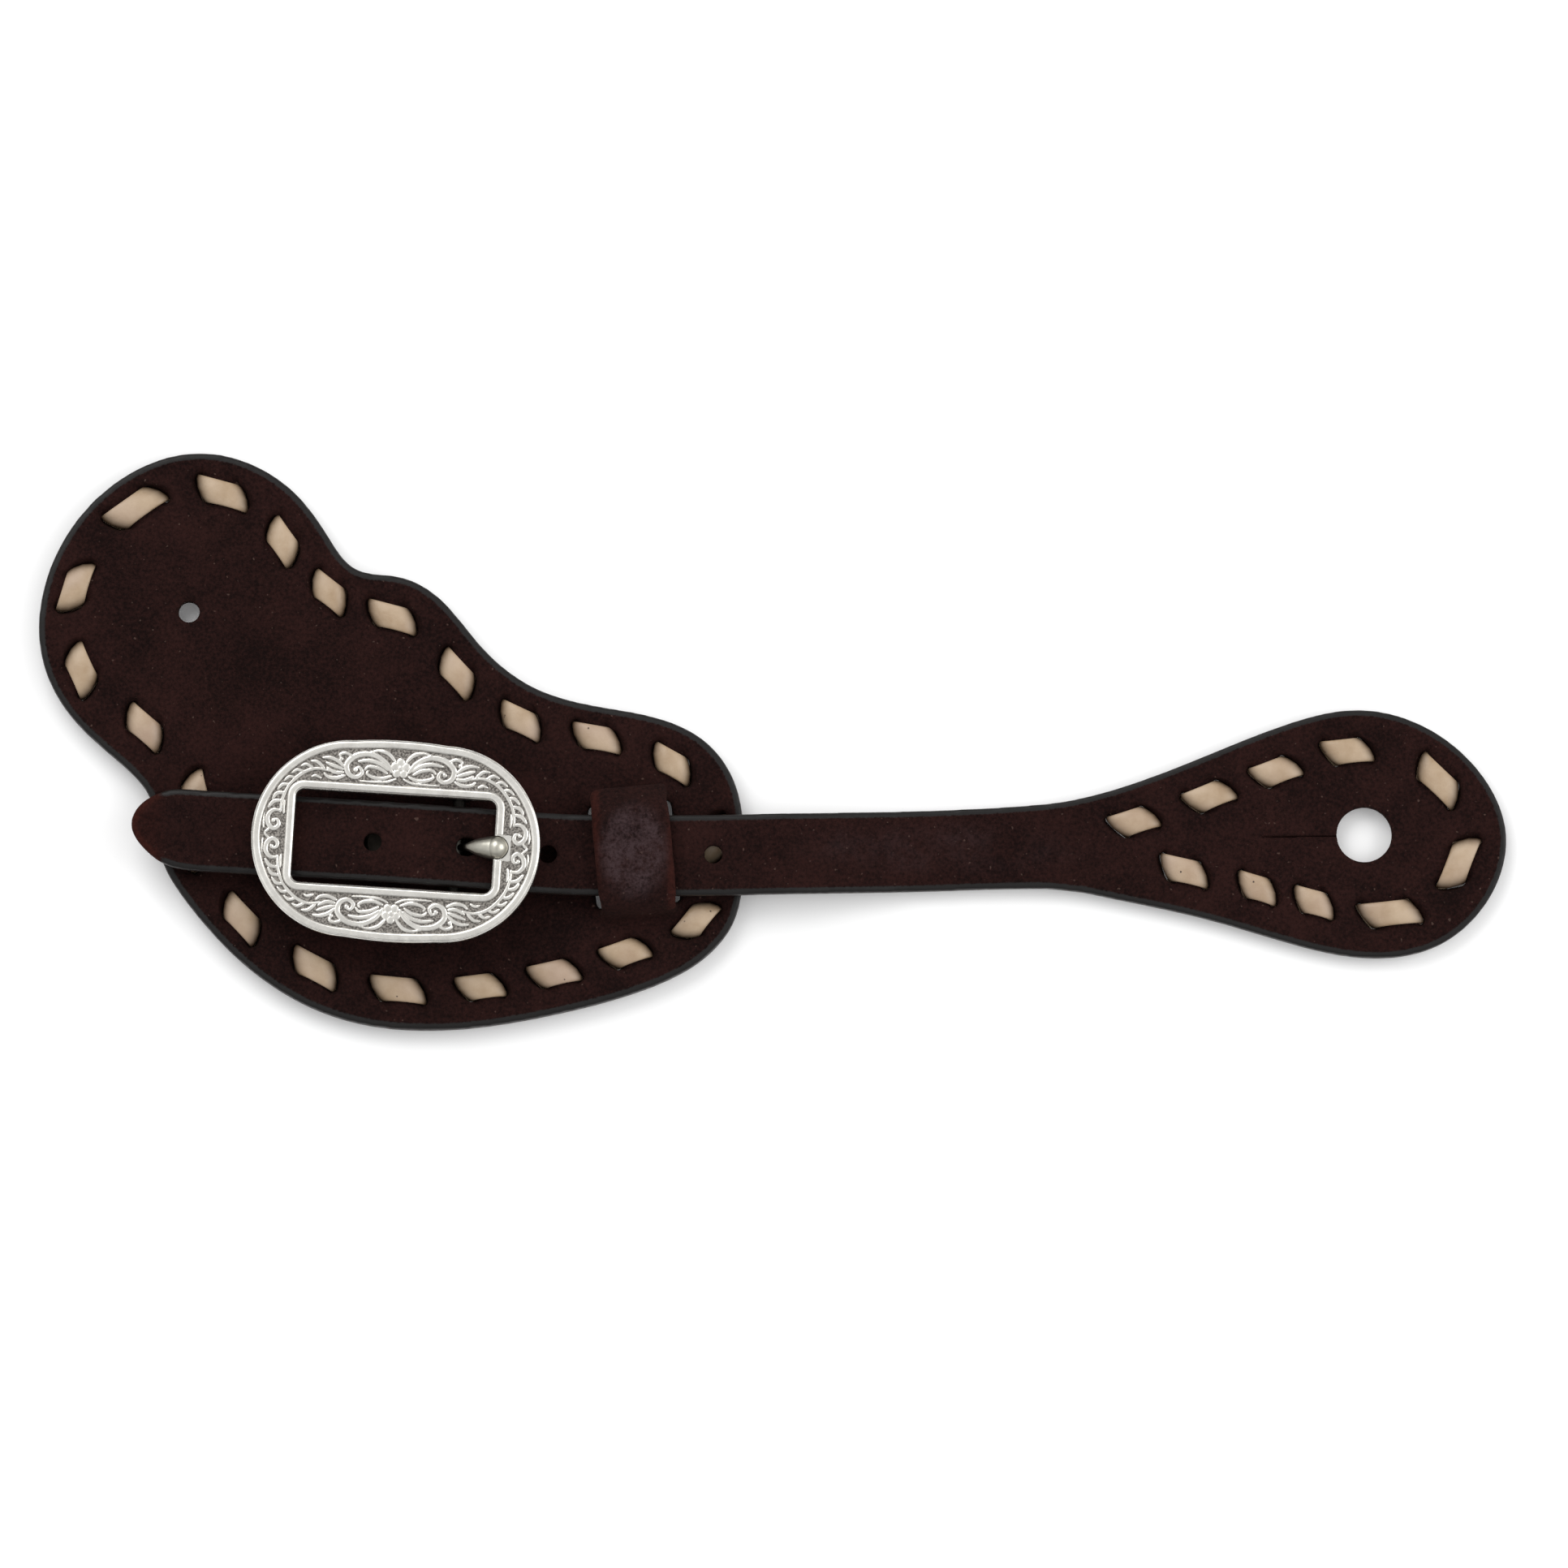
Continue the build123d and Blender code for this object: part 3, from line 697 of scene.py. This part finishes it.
# %% Paint the billet
edge, wear, raw = [], [], []
scuff_middle = Vector((34, -21, 0)) * MM
for vert in billet_leather.data.vertices:
    flat = vert.co.xy.to_3d()
    offset = flat - scuff_middle
    scuffed = fade(math.hypot(offset.x / 34, offset.y / 6.5) / MM, 0.2, 1.0)
    patchy = max(0.0, 0.30 + 0.5 * noise.noise(vert.co * 110))
    wear.append(scuffed * patchy if vert.normal.z > 0.5 else 0.0)
    gap = billet_outline.find(flat)[2]
    tip = fade(vert.co.x, -122.5 * MM, -118.0 * MM)
    edge.append(fade(gap, 0.5 * MM, 1.8 * MM) * (1 - tip))
    raw.append(tip * (0.3 + 0.7 * fade(gap, 0.4 * MM, 1.8 * MM)))
for name, values in (("edge", edge), ("wear", wear), ("raw", raw)):
    paint(billet_leather.data, name, values)

# %% Chape leather
chape = remeshed(merged_copy("buckle_chape"), 0.3 * MM, 3)
chape_leather = piece_from("chape_leather", chape, "panel", hide)
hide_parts("buckle_chape")

# %% [markdown]
# ## Buckle
# The buckle is cast: two bright rims, and between them a sunk band of scrollwork on a dark,
# oxidised ground. The CAD frame gives the body with its lugs. Its face is a thin cap: a grid
# bent round the window, with a bead on each rim, a groove beside it, and a band between them
# that is raised under a set of tapered strokes.

# %% Where the buckle is
low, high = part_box("buckle_frame")
buckle_middle = (low + high) / 2
PLATE_TOP = high.z
rock = next(j for j in frame["joints"] if j["name"] == "frame_rock")
across = Vector(rock["axis"]).normalized()
along = Vector((across.y, -across.x, 0))
print("buckle middle, mm:", [round(c / MM, 2) for c in buckle_middle])

# %% Scrollwork: tapered strokes in one quarter of the buckle, in millimetres
# Each stroke is (points along it, its widest half width). A ball is (place, radius).
STROKES = [
    # main scroll, its inner leaves and the stem below it
    ([(1.7, 13.6), (3.0, 15.4), (5.6, 16.7), (8.6, 16.4), (10.5, 14.7), (10.2, 12.8), (8.7, 12.1),
      (7.5, 12.9), (8.0, 14.0), (8.9, 13.7)], 0.52),
    ([(2.4, 13.9), (4.0, 15.0), (6.2, 15.5), (8.3, 15.2)], 0.40),
    ([(2.6, 13.2), (4.2, 14.1), (6.2, 14.3), (7.0, 13.6)], 0.36),
    ([(1.8, 12.7), (3.6, 12.1), (5.4, 12.3), (6.5, 12.9), (6.3, 13.5)], 0.36),
    ([(0.8, 12.2), (2.6, 11.5), (5.4, 11.3), (7.8, 11.4)], 0.26),
    ([(1.1, 15.6), (2.4, 17.0), (4.2, 17.6), (5.6, 17.3)], 0.36),
    ([(9.5, 16.2), (10.9, 16.7), (12.0, 16.3), (11.8, 15.6)], 0.32),
    # fan of leaves
    ([(10.9, 12.3), (12.4, 11.7), (14.0, 11.8), (14.9, 12.5)], 0.38),
    ([(11.2, 12.9), (12.8, 12.8), (14.4, 13.6)], 0.38),
    ([(11.3, 13.5), (12.8, 14.0), (14.6, 14.6)], 0.38),
    ([(11.2, 14.1), (12.4, 15.1), (13.9, 15.6), (15.3, 15.5)], 0.38),
    ([(15.5, 11.5), (16.5, 11.9), (17.3, 11.6)], 0.30),
    # stem round the corner, with its leaflets
    ([(14.0, 13.0), (16.4, 13.3), (18.7, 12.5), (20.6, 10.9), (22.1, 8.7), (22.9, 6.2),
      (23.0, 4.3)], 0.34),
    ([(15.0, 13.5), (16.3, 14.6), (17.6, 14.7)], 0.34),
    ([(17.1, 13.3), (18.4, 14.0), (19.5, 13.6)], 0.32),
    ([(18.9, 12.5), (20.2, 12.8), (21.2, 12.1)], 0.32),
    ([(20.4, 11.2), (21.7, 11.3), (22.6, 10.5)], 0.32),
    ([(21.5, 9.8), (22.9, 9.7), (23.8, 8.7)], 0.34),
    ([(22.4, 8.2), (23.9, 7.9), (24.7, 6.8)], 0.36),
    ([(22.9, 6.6), (24.4, 6.3), (25.4, 5.1)], 0.38),
    ([(22.3, 6.6), (22.4, 5.2), (22.3, 4.0)], 0.26),
    # paired curls at the end
    ([(23.0, 4.6), (24.4, 4.6), (25.4, 3.4), (25.2, 1.8), (24.1, 1.0), (23.2, 1.7), (23.4, 2.7),
      (24.3, 2.8)], 0.44),
    ([(26.1, 4.2), (26.3, 2.8), (26.1, 1.0)], 0.24),
    ([(25.0, 0.9), (25.6, 0.3), (25.9, 0.0)], 0.26),
]
BALLS = [((5.8, 17.0), 0.48), ((11.7, 15.5), 0.42), ((8.8, 13.5), 0.46), ((24.3, 2.5), 0.4),
         ((0.0, 14.3), 0.62)]
PETAL_TURNS = [math.tau * k / 5 for k in range(5)]
PETALS = [(1.15 * math.sin(turn), 14.3 + 1.25 * math.cos(turn)) for turn in PETAL_TURNS]
STROKE_FILL = 1.12           # how full the strokes are against their stated widths
CELL = 0.05                  # millimetres, of the height map
MAP_REACH = (30.0, 21.0)


def smooth_line(points, step=0.05):
    """Points a step apart along a smooth line through the given ones."""
    made = []
    padded = [points[0], *points, points[-1]]
    for k in range(len(points) - 1):
        a, b, c, d = (np.array(p, float) for p in padded[k:k + 4])
        square, cube = 2 * a - 5 * b + 4 * c - d, 3 * b - a - 3 * c + d
        count = max(2, int(np.linalg.norm(c - b) / step))
        for t in np.linspace(0, 1, count, endpoint=False):
            made.append(0.5 * (2 * b + (c - a) * t + square * t**2 + cube * t**3))
    return made


def stamp(heights, place, radius, lift, groove=0.0):
    """Raises a flat-topped dome on the height map, keeping whatever is already higher."""
    i, j = ((place[0] + MAP_REACH[0]) / CELL, (place[1] + MAP_REACH[1]) / CELL)
    r = radius / CELL
    i0, i1, j0, j1 = int(i - r), int(i + r) + 2, int(j - r), int(j + r) + 2
    x, y = np.meshgrid(np.arange(i0, i1) - i, np.arange(j0, j1) - j, indexing="ij")
    near = np.clip((x * x + y * y) / (r * r), 0, 1)
    dome = lift * np.sqrt(1 - near**2) * (1 - groove * np.exp(-near * 14))
    heights[i0:i1, j0:j1] = np.maximum(heights[i0:i1, j0:j1], dome)


def scroll_map():
    """The height of the scrollwork, from 0 to 1, over the whole buckle."""
    heights = np.zeros([int(2 * reach / CELL) + 1 for reach in MAP_REACH])
    for su, sv in ((1, 1), (-1, 1), (1, -1), (-1, -1)):
        for points, width in STROKES:
            line = smooth_line(points)
            for number, (u, v) in enumerate(line):
                share = number / (len(line) - 1)
                taper = math.sin(math.pi * (0.12 + 0.80 * share)) ** 0.6
                groove = 0.45 if width > 0.33 else 0.0
                radius = STROKE_FILL * width * taper
                stamp(heights, (su * u, sv * v), radius, 0.55 + 0.45 * taper, groove)
        for (u, v), radius in BALLS:
            stamp(heights, (su * u, sv * v), radius, 1.0)
        for u, v in PETALS:
            stamp(heights, (su * u, sv * v), 0.85, 0.95)
    return heights


heights = scroll_map()
print("share of the band that is raised:", round(float((heights > 0.3).mean()), 3))


# %% The rings of the buckle's face, as distances from its middle
RIM = 1.7
EDGE = 0.32                  # how far the face stays inside the frame's own edges
BAND_GAP = 0.22              # width of the step from a rim down to the band
RIM_SHARE, BAND_SHARE = 0.14, 0.17       # shares of the grid where a rim and its step end
WINDOW_U, WINDOW_V, WINDOW_CORNER = 39.3, 18.25, 1.6
WINDOW_MIDDLE_U = -0.4
END_U, END_R = 9.1, 19.4     # middle and radius of each round end
SIDE_BULGE = 0.5             # how far the long sides bow out


def ray_to_window(angle, grow):
    """Distance to the window's edge grown outwards: a rectangle with round corners."""
    c, s = math.cos(angle), math.sin(angle)
    half_u, half_v, corner = WINDOW_U / 2 + grow, WINDOW_V / 2 + grow, WINDOW_CORNER + grow
    near, far = 5.0, 40.0
    for _ in range(36):
        r = (near + far) / 2
        qu, qv = abs(r * c - WINDOW_MIDDLE_U) - half_u + corner, abs(r * s) - half_v + corner
        outside = math.hypot(max(qu, 0), max(qv, 0)) + min(max(qu, qv), 0) - corner
        near, far = (r, far) if outside < 0 else (near, r)
    return near


def ray_to_outline(angle, shrink):
    """Distance to the outline shrunk inwards: two round ends joined by two shallow arcs."""
    c, s = abs(math.cos(angle)), abs(math.sin(angle))
    end_r = END_R - shrink
    round_end = END_U * c + math.sqrt(max(0.0, end_r**2 - (END_U * s) ** 2))
    if round_end * c >= END_U:
        return round_end
    return (end_r + SIDE_BULGE * (1 - (round_end * c / END_U) ** 2)) / s


RINGS = [                    # (share of the grid across, distance for an angle)
    (0.00, lambda a: ray_to_window(a, EDGE)),
    (RIM_SHARE, lambda a: ray_to_window(a, RIM)),
    (BAND_SHARE, lambda a: ray_to_window(a, RIM + BAND_GAP)),
    (1 - BAND_SHARE, lambda a: ray_to_outline(a, RIM + BAND_GAP)),
    (1 - RIM_SHARE, lambda a: ray_to_outline(a, RIM)),
    (1.00, lambda a: ray_to_outline(a, EDGE)),
]
angles = np.linspace(0, math.tau, 2401)
rings = np.array([[ring(a) for a in angles] for _, ring in RINGS])
shares = [share for share, _ in RINGS]
middle_line = (rings[2] + rings[3]) / 2
path = np.stack([middle_line * np.cos(angles), middle_line * np.sin(angles)], 1)
walked = np.concatenate([[0], np.cumsum(np.linalg.norm(np.diff(path, axis=0), axis=1))])
print("middle of the band, mm round:", round(float(walked[-1]), 1))

# %% Bend a grid into the face and raise it
AROUND, ACROSS = 1150, 72
BEAD, GROOVE, RELIEF = 0.17 * MM, 0.30 * MM, 0.26 * MM
NOTCH_START, NOTCH_END, NOTCH_HALF = 19, 22.6, 2.5   # where the tongue's point lies
NOTCH_DEPTH = 2.0 * MM


def face_height(share, u, v):
    """(height over the plate, how much is dark ground) of a point of the face."""
    if NOTCH_START < u < NOTCH_END and abs(v) < NOTCH_HALF:
        return -NOTCH_DEPTH, 0.0
    inward = min(share, 1 - share)
    if inward < RIM_SHARE:
        bulge = max(0.0, 1 - abs(2 * inward / RIM_SHARE - 1) ** 2.6) ** 0.4
        return BEAD * bulge - 0.02 * MM, 0.0
    i, j = (u + MAP_REACH[0]) / CELL, (v + MAP_REACH[1]) / CELL
    fi, fj = i % 1, j % 1
    i, j = int(i), int(j)
    lift = (heights[i, j] * (1 - fj) + heights[i, j + 1] * fj) * (1 - fi)
    lift += (heights[i + 1, j] * (1 - fj) + heights[i + 1, j + 1] * fj) * fi
    lift *= min(1.0, max(0.0, (inward - (RIM_SHARE + BAND_SHARE) / 2) * 22))
    return lift * RELIEF - GROOVE, 1 - lift


face = bmesh.new()
ground = face.verts.layers.float.new("ground")
bmesh.ops.create_grid(face, x_segments=AROUND, y_segments=ACROSS, size=0.5)
for vert in face.verts:
    turn = float(np.interp((vert.co.x + 0.5) * walked[-1], walked, angles))
    share = vert.co.y + 0.5
    r = float(np.interp(share, shares, [np.interp(turn, angles, ring) for ring in rings]))
    u, v = r * math.cos(turn), r * math.sin(turn)
    lift, vert[ground] = face_height(share, u, v)
    vert.co = buckle_middle + along * u * MM + across * v * MM
    vert.co.z = PLATE_TOP + lift
bmesh.ops.remove_doubles(face, verts=face.verts, dist=0.005 * MM)
walls = bmesh.ops.extrude_edge_only(face, edges=[e for e in face.edges if e.is_boundary])["geom"]
for vert in walls:
    if isinstance(vert, bmesh.types.BMVert):
        notched = vert.co.z < PLATE_TOP - 1 * MM
        vert.co.z = PLATE_TOP - (2.2 * MM if notched else 0.45 * MM)
bmesh.ops.bridge_loops(face, edges=[e for e in face.edges if e.is_boundary])
bmesh.ops.recalc_face_normals(face, faces=face.faces)

# %% [markdown]
# ## Tongue
# The tongue ends in a smooth bullet that lies in its notch. Its profile is spun round the
# bullet's own axis, and everything below a keel plane is pressed flat, so that it clears the
# billet. The CAD tongue stays as the shank and eye under it.

# %% Spin the bullet
BULLET_START, BULLET_END = (13.6, 13.65), (22.15, 16.1)      # (along the billet, height) in mm
KEEL = 0.5 * MM              # how far below its axis the bullet is pressed flat
BULLET_RADII = [(0.0, 0.3), (0.06, 0.75), (0.16, 1.22), (0.3, 1.68), (0.46, 2.05), (0.6, 2.28),
                (0.72, 2.36), (0.82, 2.3), (0.9, 1.95), (0.96, 1.35), (0.99, 0.7), (1.0, 0.0)]


def on_upright(u, z):
    """A point of the upright plane through the buckle's middle line, from mm."""
    point = buckle_middle + along * u * MM
    point.z = z * MM
    return point


bullet = bmesh.new()
nose, tail = on_upright(*BULLET_START), on_upright(*BULLET_END)
ahead = tail - nose
up = across.cross(ahead).normalized()
if up.z < 0:
    up.negate()
fine = np.linspace(0, 1, 40)
fine_radii = np.interp(fine, [s for s, _ in BULLET_RADII], [r for _, r in BULLET_RADII])
profile = [
    bullet.verts.new(nose + ahead * s + up * max(float(r), 0.001) * MM)
    for s, r in zip(fine, fine_radii)
]
lines = [bullet.edges.new(pair) for pair in zip(profile, profile[1:])]
bmesh.ops.spin(
    bullet, geom=profile + lines, cent=nose, axis=ahead.normalized(), angle=math.tau, steps=40,
    use_merge=True,
)
bmesh.ops.remove_doubles(bullet, verts=bullet.verts, dist=0.004 * MM)
bmesh.ops.holes_fill(bullet, edges=[e for e in bullet.edges if e.is_boundary], sides=0)
for _ in range(8):
    smooth(bullet, bullet.verts)
for vert in bullet.verts:
    below = (vert.co - nose).dot(up) + KEEL
    if below < 0:
        vert.co -= up * below * 0.98
bmesh.ops.recalc_face_normals(bullet, faces=bullet.faces)

# %% Silver, nickel, steel and brass
def painted_low_shade(add, where, colour, low, high, most, dark):
    """A colour darkened by painted shade from the height high down to low, where parts lie under the
    buckle's face.
    """
    level = add("ShaderNodeSeparateXYZ", {0: where}).outputs[2]
    return mix(add, ramp(add, level, low * MM, high * MM, most, 0.0), colour, dark)


silver, tree, shader, add = new_material("antique_silver")
where = add("ShaderNodeTexCoord").outputs["Object"]
tarnish = noisy(add, where, 350.0, 4.0)
bright = mix(add, ramp(add, tarnish, 0.35, 0.7), (0.86, 0.84, 0.79, 1), (0.63, 0.61, 0.57, 1))
stipple = noisy(add, where, 2600.0, 2.0, 0.5)
dark = mix(add, ramp(add, stipple, 0.4, 0.6), (0.09, 0.082, 0.075, 1), (0.29, 0.27, 0.245, 1))
sunk = painted(add, "ground")
shade = mix(add, ramp(add, sunk, 0.35, 0.8), bright, dark)
# painted shade: the frame's lower walls and lugs darken towards the table, under the plate
shade = painted_low_shade(add, where, shade, 12.6, 15.4, 1.0, (0.06, 0.055, 0.05, 1))
tree.links.new(shade, shader.inputs["Base Color"])
shader.inputs["Metallic"].default_value = 1.0
polish = both(add, ramp(add, tarnish, 0.3, 0.7, 0.19, 0.30), ramp(add, sunk, 0.4, 0.8, 0.0, 0.28))
tree.links.new(polish, shader.inputs["Roughness"])
stippled = both(add, stipple, ramp(add, sunk, 0.4, 0.8), "MULTIPLY")
rubbed = both(add, noisy(add, where, 900.0, 2.0), 0.06, "MULTIPLY")
marks = both(add, stippled, rubbed)
relief(add, tree, shader, marks, 0.10 * MM)


def plain_metal(name, colour, low, high):
    """A metal with faint handling marks, and painted shade that makes it dark low down."""
    material, tree, shader, add = new_material(name)
    where = add("ShaderNodeTexCoord").outputs["Object"]
    marks = noisy(add, where, 600.0, 5.0)
    shade = tuple(0.8 * c for c in colour[:3]) + (1,)
    face = mix(add, ramp(add, marks, 0.35, 0.65), colour, shade)
    # painted shade: darker low down, where the part lies under the buckle or the strap
    face = painted_low_shade(add, where, face, 12.4, 13.9, 0.9, (0.02, 0.018, 0.016, 1))
    tree.links.new(face, shader.inputs["Base Color"])
    tree.links.new(ramp(add, marks, 0.3, 0.7, low, high), shader.inputs["Roughness"])
    shader.inputs["Metallic"].default_value = 1.0
    relief(add, tree, shader, noisy(add, where, 1800.0, 3.0), 0.01 * MM)
    return material


nickel = plain_metal("tongue_nickel", (0.56, 0.54, 0.47, 1), 0.30, 0.38)
steel = plain_metal("bar_steel", (0.07, 0.065, 0.06, 1), 0.3, 0.45)
brass = plain_metal("rivet_brass", (0.05, 0.032, 0.018, 1), 0.4, 0.6)
buckle_face = piece_from("buckle_face", face, "buckle", silver)
tongue_bullet = piece_from("tongue_bullet", bullet, "tongue", nickel)
for node, finish in (
    ("buckle_frame", silver), ("hinge_bar", steel), ("buckle_tongue", nickel),
    ("chape_rivets", brass), ("rivet_burrs", brass),
):
    nodes[node].data.materials.clear()
    nodes[node].data.materials.append(finish)
